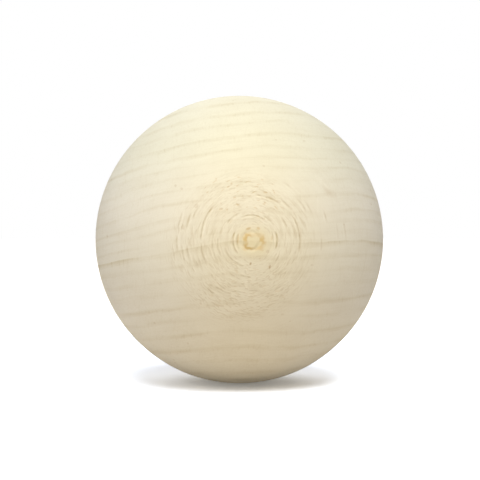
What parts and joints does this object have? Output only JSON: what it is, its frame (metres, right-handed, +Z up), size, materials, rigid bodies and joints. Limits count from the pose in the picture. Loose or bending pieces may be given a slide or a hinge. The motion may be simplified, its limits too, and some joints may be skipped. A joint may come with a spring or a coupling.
{
  "type": "wooden ball",
  "caption": "Solid turned wooden ball with growth rings running across it and a small burnished ring at each pole.",
  "frame": {"origin": "centre of the ball", "axes": "+Z up, +Y along the lathe axis and the wood's fibres, away from the pole at the front"},
  "size_m": [0.05, 0.05, 0.05],
  "materials": {
    "wood": "matte"
  },
  "bodies": {
    "root": {"ball": "wood"}
  },
  "joints": []
}
